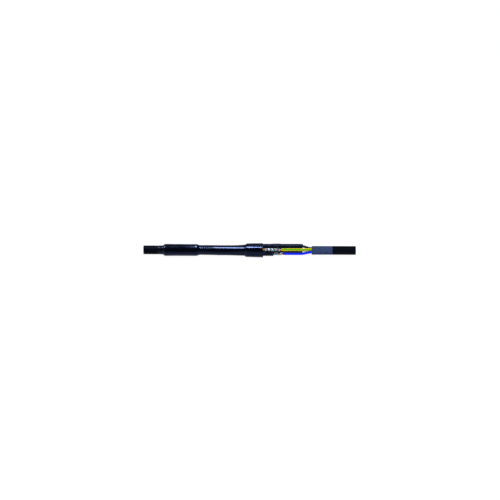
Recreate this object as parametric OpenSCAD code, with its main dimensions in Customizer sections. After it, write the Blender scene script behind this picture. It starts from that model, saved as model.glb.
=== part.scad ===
// Heat shrink straight-through joint on a four-core low-voltage power cable.
//
// The sample lies along X with its cable axis level, and it is opened on its right-hand
// half: the heavy outer tube is cut off square in front of the connectors, two of the
// core tubes are cut back, and the bare connectors, the coloured cores and the prepared
// end of the right-hand cable show. Origin: on the surface it lies on, under the middle
// of its length. All sizes are millimetres.

/* [Cable] */
// Diameter over the outer sheath
sheath_d = 29; // [28.5:0.1:31]
// Thickness of the outer sheath
sheath_wall = 1.8; // [1.4:0.1:2.2]
// Depth to which the sheath is roughened for the adhesive
abrasion_depth = 0.2; // [0.18:0.01:0.3]
// Diameter over one insulated core
insulation_d = 9; // [8.4:0.1:9.4]
// Thickness of the core insulation
insulation_wall = 1.25; // [1:0.05:1.6]
// Filler between neighbouring cores inside the cable
core_web = 0.4; // [0.3:0.05:0.8]
// Turn of the right cable's cores against the left cable's
right_lay = 25; // [0:1:45]

/* [Lengths along the joint] */
// Left cable that stands out of the outer tube
left_cable_length = 65; // [45:1:120]
// Outer tube on the left cable's sheath
tube_overlap = 114; // [70:1:160]
// Cores that run side by side after the left sheath
bundle_length = 81; // [50:1:120]
// Stretch over which the left cores spread apart
left_spread_length = 110; // [90:1:140]
// Left cores that run parallel up to the middle of the connectors
left_core_length = 55; // [46:1:80]
// Right cores that run parallel from the middle of the connectors
right_core_length = 90; // [75:1:120]
// Stretch over which the right cores draw together
right_spread_length = 45; // [38:1:60]
// How far inside the right sheath the cores lie together
mouth_depth = 5; // [3:0.5:9]
// Right cable, sheath only
right_cable_length = 145; // [110:1:200]
// Sheath roughened on the right cable
right_abraded_length = 68; // [40:1:90]

/* [Cores at the connectors] */
// Black core behind the cable axis
black_y = 9.7; // [9.3:0.1:10.5]
// Black core above the cable axis
black_z = 9.8; // [9.3:0.1:10.5]
// Green-yellow core in front of the cable axis
green_yellow_y = 6.3; // [5.9:0.1:7.5]
// Green-yellow core above the cable axis
green_yellow_z = 9.1; // [8.6:0.1:10.5]
// Blue core in front of the cable axis
blue_y = 7.7; // [7.6:0.1:8.6]
// Blue core below the cable axis
blue_z = 8.5; // [8.1:0.1:9.5]
// Grey core behind the cable axis
grey_y = 8.8; // [8.6:0.1:9.4]
// Grey core below the cable axis
grey_z = 8.5; // [8.1:0.1:9.5]

/* [Connectors] */
// Length of a compression connector
connector_length = 50; // [44:1:56]
// Outer diameter of a connector
connector_d = 10; // [9.6:0.1:10.6]
// Length of one hexagon crimp along the connector
crimp_width = 6; // [4:0.5:8]
// Depth of a crimp's flats under the connector's surface
crimp_depth = 0.67; // [0.4:0.01:0.9]
// From the connector's end to the middle of its first crimp
crimp_inset = 8; // [6:0.5:9]
// From the first crimp to the second
crimp_pitch = 10.5; // [9.5:0.5:11]
// Wall left between the two conductors in the middle
stop_wall = 2; // [1:0.5:4]
// Bevel at the connector's ends
connector_bevel = 0.5; // [0.3:0.1:0.8]
// Bare copper left of the connector
bare_left = 3; // [2:0.5:5]
// Bare copper right of the connector
bare_right = 5; // [3:0.5:7]
// How far the blue connector sits right of the green-yellow one
blue_stagger = 5.4; // [0:0.1:7]
// How far the black connector sits right of the green-yellow one
black_stagger = 1.6; // [0:0.1:4]

/* [Core tubes] */
// Wall of a shrunk core tube over the insulation
core_tube_wall = 3; // [2.4:0.1:3]
// Core tube to the right of the connectors' middle
core_tube_right = 99; // [94:1:102]
// Core tube to the left of the connectors' middle
core_tube_left = 80; // [76:1:82]
// How far the tube stands up over a connector's thick end
connector_swell = 0.8; // [0.3:0.1:1.2]
// Blue core tube left on its connector
blue_tube_cover = 23; // [14:0.5:32]
// Slant of the blue core tube's cut
blue_cut_slant = 14; // [0:1:20]

/* [Outer tube] */
// Wall of the outer tube where it sits on the sheath
tube_wall = 4; // [3:0.1:5]
// Adhesive between the sheath and the outer tube
sealant_wall = 1; // [0.6:0.1:1.5]
// Adhesive squeezed out in front of the outer tube
sealant_bead = 17; // [8:1:30]
// From the cut edge of the outer tube to the connectors' middle
cut_back = 32; // [30:0.5:40]
// Outer tube over the bundled cores, from core to surface
waist_cover = 4.6; // [3.8:0.1:6]
// Outer tube over the open cores, from core tube to surface
bulge_cover = 1.8; // [1.6:0.1:2.6]
// Height of the turned-out lip at the cut edge
lip_height = 0.8; // [0.2:0.1:1.5]
// How far the outer tube sinks in between neighbouring cores
tube_dip = 0.7; // [0.5:0.1:0.8]

/* [Hidden] */

$fn = 72;

slip = 0.02; // clearance between pieces that were moulded or pressed on each other
seat = 0.15; // clearance between a shrunk tube and what it grips
eps = 0.01;
inlay = 0.01; // keeps a bend's corners inside the round face they meet
lap = 0.5; // how far a bend runs on into the straight beside it
bend_sides = 24;
bend_steps = 6;

// The four cores, in the order of their quarters: +Y+Z, -Y+Z, -Y-Z, +Y-Z
BLACK = 0;
GREEN_YELLOW = 1;
BLUE = 2;
GREY = 3;
CORES = [BLACK, GREEN_YELLOW, BLUE, GREY];
open_at = [
    [black_y, black_z], [-green_yellow_y, green_yellow_z], [-blue_y, -blue_z], [grey_y, -grey_z]
];
stagger = [black_stagger, 0, blue_stagger, 0];
core_colour = ["#15161a", "#3fae1e", "#1030d8", "#b9bcc0"];

// Radii
sheath_r = sheath_d / 2;
abraded_r = sheath_r - abrasion_depth;
sheath_bore_r = sheath_r - sheath_wall;
insulation_r = insulation_d / 2;
conductor_r = insulation_r - insulation_wall - slip;
connector_r = connector_d / 2;
core_tube_r = insulation_r + core_tube_wall;
barrel_bore_r = sheath_r + sealant_wall;
barrel_r = barrel_bore_r + tube_wall;
nest_r = (insulation_d + core_web) / sqrt(2); // from the cable's axis to a bundled core's

// Places along X
total_length = left_cable_length + tube_overlap + bundle_length + left_spread_length
    + left_core_length + right_core_length + right_spread_length - mouth_depth
    + right_cable_length;
x_left = -total_length / 2;
x_tube = x_left + left_cable_length;
x_left_sheath_end = x_tube + tube_overlap;
x_spread = x_left_sheath_end + bundle_length;
x_open = x_spread + left_spread_length;
x_joint = x_open + left_core_length;
x_close = x_joint + right_core_length;
x_nested = x_close + right_spread_length;
x_right_sheath = x_nested - mouth_depth;
x_abraded_end = x_right_sheath + right_abraded_length;
x_right = x_right_sheath + right_cable_length;
x_cut = x_joint - cut_back;
x_core_tube = x_joint - core_tube_left;
x_core_tube_end = x_joint + core_tube_right;

// Where a core's axis runs: nested, spreading in two equal arcs, open, then drawing together.
// Each function of x takes the half of the joint that x lies in.
function nested(k, x) =
    let (a = 45 + 90 * k - (x < x_joint ? 0 : right_lay)) nest_r * [cos(a), sin(a)];
function spread(k, x) = open_at[k] - nested(k, x);
function spread_dir(k, x) = atan2(spread(k, x)[1], spread(k, x)[0]);
function bend_length(x) = x < x_joint ? left_spread_length : right_spread_length;
function bend_r(k, x) = let (s = norm(spread(k, x))) (bend_length(x) ^ 2 + s ^ 2) / (4 * s);

// Distance along X from the nested end of the nearer bend, kept within that bend
function into_bend(x) =
    max(0, min(bend_length(x), x < x_joint ? x - x_spread : x_nested - x));
function to_bend_end(x) = min(into_bend(x), bend_length(x) - into_bend(x));

// Share of its sideways shift that core k has made at x, and its slope there
function bend_share(k, x) =
    let (r = bend_r(k, x), rise = (r - sqrt(r ^ 2 - to_bend_end(x) ^ 2)) / norm(spread(k, x)))
    into_bend(x) <= bend_length(x) / 2 ? rise : 1 - rise;
function slope(k, x) = (x < x_joint ? 1 : -1) * asin(to_bend_end(x) / bend_r(k, x));

// Where core k's axis crosses the plane at x
function core_at(k, x) = nested(k, x) + spread(k, x) * bend_share(k, x);

// Turns a drawing in the YZ plane, or a solid made along Z, to run along X
module along_x(x, at = [0, 0]) {
    translate([x, at[0], at[1]]) rotate([90, 0, 90]) children();
}

// A 2D outline run straight along X
module run(x1, x2, at) {
    if (x2 - x1 > eps) along_x(x1, at) linear_extrude(x2 - x1) children();
}

// Eases from 0 to 1 as t does
function ease(t) = (1 - cos(180 * t)) / 2;

// Points of a half profile that eases from radius r1 at x1 to r2 at x2
function ramp(x1, r1, x2, r2, n = 4) =
    [for (i = [0 : n]) [x1 + (x2 - x1) * i / n, r1 + (r2 - r1) * ease(i / n)]];

// Two triangles for each cell of a band of n cells between the rings that start at a and b
function band(a, b, n) = [
    for (j = [0 : n - 1]) let (m = (j + 1) % n)
        each [[a + j, b + m, a + m], [a + j, b + j, b + m]]
];
// The bands of a skin through a number of rings, facing out, or in when it lines a bore
function bands(first, rings, n, lines_bore = false) = [
    for (i = [0 : rings - 2]) let (a = first + n * i, b = a + n)
        each lines_bore ? band(b, a, n) : band(a, b, n)
];

// A skin through rings of n points each, closed at both ends
module rod(rings) {
    n = len(rings[0]);
    last = n * (len(rings) - 1);
    polyhedron(
        points = [for (ring = rings) each ring],
        faces = concat(
            bands(0, len(rings), n),
            [[for (j = [0 : n - 1]) j]],
            [[for (j = [n - 1 : -1 : 0]) last + j]]
        )
    );
}

// The same with a bore: both ends are flat rings
module sleeve(outer, inner) {
    n = len(outer[0]);
    bore = n * len(outer);
    polyhedron(
        points = [for (rings = [outer, inner]) for (ring = rings) each ring],
        faces = concat(
            bands(0, len(outer), n),
            bands(bore, len(inner), n, true),
            band(bore, 0, n),
            band(bore - n, bore + n * (len(inner) - 1), n)
        )
    );
}

// Ring of n points at radius r about core k, square to its axis
function core_ring(k, x, r, n) =
    let (d = spread_dir(k, x), t = slope(k, x), c = core_at(k, x),
        out = [-sin(t), cos(t) * cos(d), cos(t) * sin(d)],
        across = [0, -sin(d), cos(d)])
    [for (j = [0 : n - 1]) let (a = 360 * j / n - d)
        [x, c[0], c[1]] + r * (cos(a) * out + sin(a) * across)];

// The stretch of core k's route from xa to xb that lies in the bend from x1 to x2
module bend(k, x1, x2, xa, xb, outer, inner, n) {
    from = max(x1 - lap, xa);
    to = min(x2 + lap, xb);
    step = (x2 - x1) / bend_steps;
    stops = concat([from],
        [for (i = [0 : bend_steps]) let (x = x1 + step * i)
            if (x > from + lap / 2 && x < to - lap / 2) x],
        [to]);
    outer_rings = [for (x = stops) core_ring(k, x, outer - inlay, n)];
    inner_rings = [for (x = stops) core_ring(k, x, inner / cos(180 / n) + inlay, n)];
    if (to - from > lap) {
        if (inner > 0) sleeve(outer_rings, inner_rings);
        else rod(outer_rings);
    }
}

// What runs with core k from xa to xb: a 2D outline on the straights, and in the bends
// a tube of n sides between two radii
module core_run(k, xa, xb, outer, inner = 0, n = bend_sides) {
    run(max(xa, x_left), min(xb, x_spread), nested(k, x_left)) children();
    bend(k, x_spread, x_open, xa, xb, outer, inner, n);
    run(max(xa, x_open), min(xb, x_close), open_at[k]) children();
    bend(k, x_close, x_nested, xa, xb, outer, inner, n);
    run(max(xa, x_nested), min(xb, x_right), nested(k, x_right)) children();
}

module ring_outline(outer, inner) {
    difference() {
        circle(outer);
        circle(inner);
    }
}

// A turned piece on an axis along X, from its half profile as [x, radius] points
module turned(profile, at = [0, 0]) {
    along_x(0, at) rotate_extrude() polygon([for (p = profile) [p[1], p[0]]]);
}

// Cable

module left_sheath() {
    smooth_end = x_tube - sealant_bead - 1;
    color("#15161b") turned([
        [x_left, sheath_bore_r],
        [x_left_sheath_end, sheath_bore_r],
        [x_left_sheath_end, abraded_r],
        [smooth_end, abraded_r],
        [smooth_end, sheath_r],
        [x_left, sheath_r]
    ]);
}

module right_sheath() {
    color("#23262f") turned([
        [x_right_sheath, sheath_bore_r],
        [x_right, sheath_bore_r],
        [x_right, sheath_r],
        [x_abraded_end, sheath_r],
        [x_abraded_end, abraded_r],
        [x_right_sheath, abraded_r]
    ]);
}

module filler(x1, x2) {
    color("#b8aea0") along_x(x1) linear_extrude(x2 - x1) difference() {
        circle(sheath_bore_r - slip);
        for (k = CORES) translate(nested(k, x1)) circle(insulation_r + slip);
    }
}

module insulation(k, x1, x2) {
    bore = conductor_r + slip;
    color(core_colour[k]) core_run(k, x1, x2, insulation_r, bore)
        ring_outline(insulation_r, bore);
}

// Seven wires laid together: six show round the middle one, with the gaps between closed
module strand_outline() {
    wire_r = conductor_r / 3;
    closed_r = 1.86 * wire_r;
    circle(closed_r);
    for (i = [0 : 5]) rotate(60 * i) translate([2 * wire_r, 0]) circle(wire_r - eps / 10);
}

// Inside the bends of its insulation the conductor is plain, and as thick as its wires
module conductor(k, x1, x2) {
    plain_r = 0.9 * conductor_r;
    color("#c8763f") core_run(k, x1, x2, plain_r, n = bend_sides / 2) strand_outline();
}

// Connectors

function connector_x(k) = x_joint + stagger[k];
function connector_left(k) = connector_x(k) - connector_length / 2;
function connector_right(k) = connector_x(k) + connector_length / 2;

// What one jaw of the hexagon die presses away: a flat with sloping ends
module crimp_flat() {
    height = crimp_depth + 1; // stands clear of the connector's surface
    half = crimp_width / 2;
    slope = 1.5 * height;
    translate([0, -connector_r, connector_r - crimp_depth]) rotate([0, 90, 90])
        linear_extrude(connector_d) polygon([
            [0, -half], [-height, -half - slope], [-height, half + slope], [0, half]
        ]);
}

module connector(k) {
    x1 = connector_left(k);
    x2 = connector_right(k);
    middle = connector_x(k);
    bore = conductor_r + slip;
    color("#9aa3ab") translate([0, open_at[k][0], open_at[k][1]]) difference() {
        turned([
            [x1, 0],
            [x1, connector_r - connector_bevel],
            [x1 + connector_bevel, connector_r],
            [x2 - connector_bevel, connector_r],
            [x2, connector_r - connector_bevel],
            [x2, 0]
        ]);
        along_x(x1 - eps) cylinder(r = bore, h = middle - stop_wall / 2 - x1 + eps);
        along_x(middle + stop_wall / 2)
            cylinder(r = bore, h = x2 - middle - stop_wall / 2 + eps);
        for (x = [x1 + crimp_inset, x1 + crimp_inset + crimp_pitch,
                  x2 - crimp_inset - crimp_pitch, x2 - crimp_inset])
            for (a = [0 : 60 : 300])
                translate([x, 0, 0]) rotate([a, 0, 0]) crimp_flat();
    }
}

// Core tubes, each shrunk on its core and its connector

// Half profile of the straight stretch from x1 to x2: it stands up over the thick end of
// the connector, and its bore steps out round the connector and the bare copper
function core_tube_profile(k, x1, x2) =
    let (
        bare_from = connector_left(k) - bare_left,
        bare_to = connector_right(k) + bare_right,
        on_core = insulation_r + seat,
        on_connector = connector_r + seat,
        swell_r = core_tube_r + connector_swell
    )
    concat(
        [[x1, on_core], [bare_from, on_core], [bare_from + 1, on_connector],
         [bare_to - 1, on_connector], [bare_to, on_core], [x2, on_core], [x2, core_tube_r]],
        ramp(connector_right(k) + 2, core_tube_r, connector_right(k) - 3, swell_r),
        ramp(connector_x(k) + 2, swell_r, connector_x(k) - 7, core_tube_r),
        [[x1, core_tube_r]]
    );

module core_tube_straight(k) {
    x1 = max(x_open, x_core_tube);
    x2 = min(x_close, x_core_tube_end);
    turned(core_tube_profile(k, x1, x2), open_at[k]);
}

module core_tube_bend(k, xa, xb) {
    core_run(k, xa, xb, core_tube_r, insulation_r + seat);
}

module whole_core_tube(k) {
    color("#17181e") {
        core_tube_bend(k, x_core_tube, x_open + lap);
        core_tube_straight(k);
        core_tube_bend(k, x_close - lap, x_core_tube_end);
    }
}

// Cut back to x, with the top of the cut leaning to the right by slant
module cut_core_tube(k, x, slant) {
    block = x_close - x + 4 * core_tube_r;
    color("#17181e") {
        core_tube_bend(k, x_core_tube, x_open + lap);
        difference() {
            core_tube_straight(k);
            translate([x, open_at[k][0], open_at[k][1]]) rotate([0, slant, 0])
                translate([0, -block / 2, -block / 2]) cube(block);
        }
    }
}

// Outer tube: a rounded square that hugs the four cores, and a circle on the sheath.
// A knot is [x, share, radius, steps]: the ring's four corners are arcs of that radius
// about points at that share of the way out to the cores, and it eases into the next
// knot's ring in that many steps. Between two corners the tube dips by tube_dip's share.

corner_sides = 10;
facet_half = 45 / corner_sides;

collar_length = 20;
x_collar = x_tube + 6; // the leading edge is rounded up to here
x_collar_end = x_collar + collar_length;
x_barrel = x_collar_end + 8;
x_shoulder = x_left_sheath_end - 6;
x_shoulder_end = x_left_sheath_end + 8;
x_waist = (x_shoulder_end + x_spread) / 2 - 3;
x_waist_end = x_spread + 8;
x_swell = x_core_tube - 17;
x_bulge = x_core_tube + 3;
x_brim = x_cut - 10;
x_lip = x_cut - 5;

edge_wall = 0.4; // left of the tube's wall at its leading edge
collar_rise = 0.4; // the tube stands up here where it was heated first
waist_rise = 0.6;
swell_dip = 1.5;

waist_share = 0.4;
swell_share = 0.5;
bulge_share = 0.65;
waist_r = (1 - waist_share) * nest_r + insulation_r + waist_cover;
bulge_r = (1 - bulge_share) * norm(open_at[BLACK]) + core_tube_r + bulge_cover;

outside = [
    [x_tube, 0, barrel_bore_r + edge_wall, 4],
    [x_collar, 0, barrel_r + collar_rise, 1],
    [x_collar_end, 0, barrel_r + collar_rise, 2],
    [x_barrel, 0, barrel_r, 1],
    [x_shoulder, 0, barrel_r, 7],
    [x_shoulder_end, waist_share, waist_r, 3],
    [x_waist, waist_share, waist_r + waist_rise, 4],
    [x_waist_end, waist_share, waist_r, 6],
    [x_swell, swell_share, waist_r - swell_dip, 7],
    [x_bulge, bulge_share, bulge_r - 0.4, 3],
    [x_brim, bulge_share, bulge_r, 1],
    [x_lip, bulge_share, bulge_r, 3],
    [x_cut, bulge_share, bulge_r + lip_height, 1]
];

grip = 1 / cos(facet_half); // keeps the flats of a ring clear of the round piece in it
on_sealant_r = (barrel_bore_r + slip) * grip;
on_cores_r = (insulation_r + 2 * seat) * grip;
on_core_tubes_r = (core_tube_r + 2 * seat) * grip;

inside = [
    [x_tube, 0, on_sealant_r, 1],
    [x_left_sheath_end + 1, 0, on_sealant_r, 4],
    [x_shoulder_end + 3, 1, on_cores_r, 1],
    [x_spread, 1, on_cores_r, 4],
    [x_core_tube - 8, 1, on_cores_r, 3],
    [x_core_tube - 1, 1, on_core_tubes_r, 2],
    [x_cut, 1, on_core_tubes_r, 1]
];

// The knot at x, eased between its neighbours
function knot_at(knots, x, i = 0) =
    let (a = knots[i], b = knots[i + 1])
    i == len(knots) - 1 ? a
    : x <= b[0] ? let (t = ease((x - a[0]) / (b[0] - a[0]))) a * (1 - t) + b * t
    : knot_at(knots, x, i + 1);

// Every x at which the skin has a ring
function stops(knots) = [
    for (i = [0 : len(knots) - 2]) let (a = knots[i], b = knots[i + 1])
        for (j = [0 : a[3] - 1]) a[0] + (b[0] - a[0]) * j / a[3],
    knots[len(knots) - 1][0]
];

function ring_point(x, c, r, a) = [x, c[0] + r * cos(a), c[1] + r * sin(a)];
function tube_ring(x, share, r) = [
    for (k = CORES) let (here = core_at(k, x) * share, next = core_at((k + 1) % 4, x) * share)
        each concat(
            [for (j = [0 : corner_sides - 1])
                ring_point(x, here, r, 90 * k + (2 * j + 1) * facet_half)],
            [ring_point(x, (here + next) / 2, r - tube_dip * share, 90 * (k + 1))]
        )
];
function skin(knots) = [
    for (x = stops(knots)) let (knot = knot_at(knots, x)) tube_ring(x, knot[1], knot[2])
];
outside_rings = skin(outside);

// The cable axis's height: the lowest corner of the tube lies on the surface
axis_height = -min([for (ring = outside_rings) for (p = ring) p[2]]);

module outer_tube() {
    color("#12131a") sleeve(outside_rings, skin(inside));
}

// Hot-melt adhesive between the sheath and the outer tube, and the bead squeezed out of it
module sealant() {
    x1 = x_tube - sealant_bead;
    bore = abraded_r + slip;
    bead_r = abraded_r + 0.55 * sealant_wall;
    color("#2b3350") turned(concat(
        [[x1, bore], [x_left_sheath_end, bore], [x_left_sheath_end, barrel_bore_r]],
        ramp(x_tube, barrel_bore_r, x_tube - 3, bead_r),
        ramp(x1 + 5, bead_r, x1, bore + slip)
    ));
}

// The surface it lies on is z = 0, and every piece is built about the cable axis
module place() {
    translate([0, 0, axis_height]) children();
}

module left_insulation(k) {
    insulation(k, x_left, connector_left(k) - bare_left);
}

module right_insulation(k) {
    insulation(k, connector_right(k) + bare_right, x_right);
}

module left_conductor(k) {
    conductor(k, x_left, connector_x(k) - stop_wall / 2 - slip);
}

module right_conductor(k) {
    conductor(k, connector_x(k) + stop_wall / 2 + slip, x_right);
}

place() left_sheath();
place() filler(x_left, x_left_sheath_end);  // left_filler
place() right_sheath();
place() filler(x_nested, x_right);  // right_filler
place() left_insulation(BLACK);  // left_insulation_black
place() left_insulation(GREEN_YELLOW);  // left_insulation_green_yellow
place() left_insulation(BLUE);  // left_insulation_blue
place() left_insulation(GREY);  // left_insulation_grey
place() right_insulation(BLACK);  // right_insulation_black
place() right_insulation(GREEN_YELLOW);  // right_insulation_green_yellow
place() right_insulation(BLUE);  // right_insulation_blue
place() right_insulation(GREY);  // right_insulation_grey
place() left_conductor(BLACK);  // left_conductor_black
place() left_conductor(GREEN_YELLOW);  // left_conductor_green_yellow
place() left_conductor(BLUE);  // left_conductor_blue
place() left_conductor(GREY);  // left_conductor_grey
place() right_conductor(BLACK);  // right_conductor_black
place() right_conductor(GREEN_YELLOW);  // right_conductor_green_yellow
place() right_conductor(BLUE);  // right_conductor_blue
place() right_conductor(GREY);  // right_conductor_grey
place() connector(BLACK);  // connector_black
place() connector(GREEN_YELLOW);  // connector_green_yellow
place() connector(BLUE);  // connector_blue
place() connector(GREY);  // connector_grey
place() whole_core_tube(BLACK);  // core_tube_black
place() cut_core_tube(GREEN_YELLOW, x_cut - 1, 0);  // core_tube_green_yellow
place() cut_core_tube(BLUE, connector_left(BLUE) + blue_tube_cover, blue_cut_slant);  // core_tube_blue
place() whole_core_tube(GREY);  // core_tube_grey
place() sealant();
place() outer_tube();
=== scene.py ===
"""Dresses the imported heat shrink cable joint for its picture.

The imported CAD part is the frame. The cables, the connectors and the copper keep its
meshes and get real finishes. What is soft while it is made is built again here, smooth
and a little uneven, as shrunk plastic is: the outer tube, the core tubes, the adhesive
and the coloured cores. All lengths are metres.
"""

from __future__ import annotations

import logging
import math
from abc import ABC, abstractmethod
from collections.abc import Callable, Iterable, Mapping, Sequence
from dataclasses import dataclass, field
from enum import Enum

import bmesh
import bpy
from bmesh.types import BMEdge, BMesh, BMVert
from mathutils import Matrix, Vector, noise


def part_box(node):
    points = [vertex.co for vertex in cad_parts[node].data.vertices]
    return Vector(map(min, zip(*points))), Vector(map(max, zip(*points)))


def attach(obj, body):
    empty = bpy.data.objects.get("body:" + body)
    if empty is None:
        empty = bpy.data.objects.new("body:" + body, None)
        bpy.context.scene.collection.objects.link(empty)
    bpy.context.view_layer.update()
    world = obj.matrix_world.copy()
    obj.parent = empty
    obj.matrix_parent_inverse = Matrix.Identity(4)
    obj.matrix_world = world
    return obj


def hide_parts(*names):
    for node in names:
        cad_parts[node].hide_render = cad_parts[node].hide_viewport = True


LOG = logging.getLogger("cable_joint")
MM = 0.001

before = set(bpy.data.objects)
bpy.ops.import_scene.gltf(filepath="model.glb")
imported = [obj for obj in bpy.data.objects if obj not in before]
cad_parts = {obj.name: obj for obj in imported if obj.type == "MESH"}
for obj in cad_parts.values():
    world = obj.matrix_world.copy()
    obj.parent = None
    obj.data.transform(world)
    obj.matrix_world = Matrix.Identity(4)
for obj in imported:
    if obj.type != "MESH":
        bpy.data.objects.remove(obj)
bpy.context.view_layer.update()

# How far a tube's bore starts behind its rim; two rings that lie in one plane about one
# centre would be bridged with a twist
BORE_RECESS = 0.1 * MM
# Vertices closer than this are one
MERGE_WITHIN = 0.001 * MM
# A skin isn't drawn on by less than this length, or this angle in radians
LEAST_LENGTH = 0.01 * MM
LEAST_ANGLE = 1e-5

Rgba = tuple[float, float, float, float]
WHITE: Rgba = (1.0, 1.0, 1.0, 1.0)
# Sockets of the Mix node when it mixes colours
MIX_A, MIX_B, MIX_RESULT = 6, 7, 2
# The range that most of a noise lies in, as a Map Range node takes it
MIDDLE = {"From Min": 0.3, "From Max": 0.7}


class Core(Enum):
    """The cable's four cores, each with its quarter counted from +Y+Z by way of -Y."""

    BLACK = ("black", 0)
    GREEN_YELLOW = ("green_yellow", 1)
    BLUE = ("blue", 2)
    GREY = ("grey", 3)

    @property
    def label(self) -> str:
        """The core's name in the nodes' names."""
        return self.value[0]

    @property
    def quarter(self) -> int:
        """The quarter of the cable that the core lies in."""
        return self.value[1]


# Shader helpers


def colour(code: str) -> Rgba:
    """Turns an sRGB hex colour to the linear colour that a shader takes.

    Args:
        code: The colour as "#RRGGBB".

    Returns:
        Linear red, green, blue and an alpha of 1.
    """
    parts = [int(code[i : i + 2], 16) / 255 for i in (1, 3, 5)]
    linear = [c / 12.92 if c <= 0.04045 else ((c + 0.055) / 1.055) ** 2.4 for c in parts]
    return (*linear, 1.0)


def add_node(
    tree: bpy.types.NodeTree, kind: str, settings: Mapping[str | int, object] | None = None
) -> bpy.types.Node:
    """Adds one shader node with its settings and links.

    Args:
        tree: The node tree.
        kind: The node's type, such as ShaderNodeTexNoise.
        settings: What its properties and inputs get, by name or number. A socket is
            linked, and so is a node, by its first output.

    Returns:
        The new node.
    """
    node = tree.nodes.new(kind)
    for name, value in (settings or {}).items():
        fed = value.outputs[0] if isinstance(value, bpy.types.Node) else value
        if isinstance(fed, bpy.types.NodeSocket):
            tree.links.new(fed, node.inputs[name])
        elif isinstance(name, str) and name in node.bl_rna.properties:
            setattr(node, name, fed)
        else:
            node.inputs[name].default_value = fed
    return node


@dataclass(frozen=True)
class Patches:
    """Noise patches of a real size, on the piece's own coordinates.

    Attributes:
        along: Length of a patch along the cable.
        across: Its width across the cable.
        detail: How many finer layers the noise has.
    """

    along: float
    across: float
    detail: float = 2.0

    def draw(self, tree: bpy.types.NodeTree) -> bpy.types.Node:
        """Adds the patches to a shader.

        Args:
            tree: The node tree.

        Returns:
            A node that gives a value about 0.5, from 0 to 1.
        """
        place = add_node(tree, "ShaderNodeTexCoord").outputs["Object"]
        scale = (1 / self.along, 1 / self.across, 1 / self.across)
        scaled = add_node(tree, "ShaderNodeMapping", {"Scale": scale, "Vector": place})
        return add_node(
            tree,
            "ShaderNodeTexNoise",
            {"Scale": 1.0, "Detail": self.detail, "Roughness": 0.55, "Vector": scaled},
        )


def two_shades(
    tree: bpy.types.NodeTree, pattern: bpy.types.Node, shades: tuple[str, str]
) -> bpy.types.NodeSocket:
    """Spreads two shades over the middle of a pattern's range.

    Args:
        tree: The node tree.
        pattern: A node that gives a value about 0.5.
        shades: The colours where it is low and where it is high, as "#RRGGBB".

    Returns:
        The colour.
    """
    share = add_node(tree, "ShaderNodeMapRange", {**MIDDLE, "Value": pattern})
    ends = {MIX_A: colour(shades[0]), MIX_B: colour(shades[1])}
    mixed = add_node(tree, "ShaderNodeMix", {"data_type": "RGBA", "Factor": share, **ends})
    return mixed.outputs[MIX_RESULT]


def seen_or_mirrored(tree: bpy.types.NodeTree) -> bpy.types.Node:
    """1 for what the camera, a gloss or a clear body sees, and 0 for light that it gives."""
    path = add_node(tree, "ShaderNodeLightPath").outputs
    either = {"operation": "MAXIMUM", 0: path["Is Camera Ray"], 1: path["Is Glossy Ray"]}
    through = path["Is Transmission Ray"]
    both = {"operation": "MAXIMUM", 0: add_node(tree, "ShaderNodeMath", either), 1: through}
    return add_node(tree, "ShaderNodeMath", both)


# Finishes


@dataclass(frozen=True)
class Finish(ABC):
    """What a piece is made of and how its surface was made.

    Attributes:
        name: The material and its process.
    """

    name: str

    def material(self) -> bpy.types.Material:
        """Makes the material, or gives the one made before."""
        found = bpy.data.materials.get(self.name)
        if found:
            return found
        made = bpy.data.materials.new(self.name)
        made.use_nodes = True
        tree = made.node_tree
        tree.nodes.clear()
        add_node(tree, "ShaderNodeOutputMaterial", {"Surface": self.surface(tree)})
        return made

    @abstractmethod
    def surface(self, tree: bpy.types.NodeTree) -> bpy.types.Node:
        """Builds the shader.

        Args:
            tree: The material's empty node tree.

        Returns:
            The shader's last node.
        """


@dataclass(frozen=True)
class PatchyFinish(Finish):
    """A finish whose shade and roughness drift from patch to patch, over a fine relief.

    The finishes made from it give these values of their own.

    Attributes:
        shades: Its two shades.
        roughness: Of its glossiest patches and of its dullest.
        drift: The patches.
        marks: The relief's pattern; without one the relief follows the patches.
        depth: Of the relief.
        ior: How strongly the material bends light.
        shine: Strength of its highlights.
        cast: Colour of its highlights.
        metallic: 1 for a metal.
    """

    shades: tuple[str, str] = ("#808080", "#808080")
    roughness: tuple[float, float] = (0.5, 0.5)
    drift: Patches = Patches(10 * MM, 10 * MM)
    marks: Patches | None = None
    depth: float = 0.1 * MM
    ior: float = 1.5
    shine: float = 0.5
    cast: Rgba = WHITE
    metallic: float = 0.0

    def surface(self, tree: bpy.types.NodeTree) -> bpy.types.Node:
        """Builds the shader; see Finish.surface."""
        drift = self.drift.draw(tree)
        low, high = self.roughness
        rough = {**MIDDLE, "To Min": low, "To Max": high, "Value": drift}
        relief = {"Distance": self.depth, "Strength": 1.0, "Height": self._height(tree, drift)}
        return add_node(
            tree,
            "ShaderNodeBsdfPrincipled",
            {
                **self._even(),
                "Base Color": self._base(tree, drift),
                "Roughness": add_node(tree, "ShaderNodeMapRange", rough),
                "Normal": add_node(tree, "ShaderNodeBump", relief),
            },
        )

    def _even(self) -> dict[str, object]:
        """What is the same all over the surface, by the shader's sockets."""
        return {
            "IOR": self.ior,
            "Specular IOR Level": self.shine,
            "Specular Tint": self.cast,
            "Metallic": self.metallic,
        }

    def _base(self, tree: bpy.types.NodeTree, drift: bpy.types.Node) -> bpy.types.NodeSocket:
        """The surface's colour; drift is the patches' node."""
        return two_shades(tree, drift, self.shades)

    def _height(self, tree: bpy.types.NodeTree, drift: bpy.types.Node) -> bpy.types.Node:
        """The relief's height; drift is the patches' node."""
        return self.marks.draw(tree) if self.marks else drift


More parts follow.
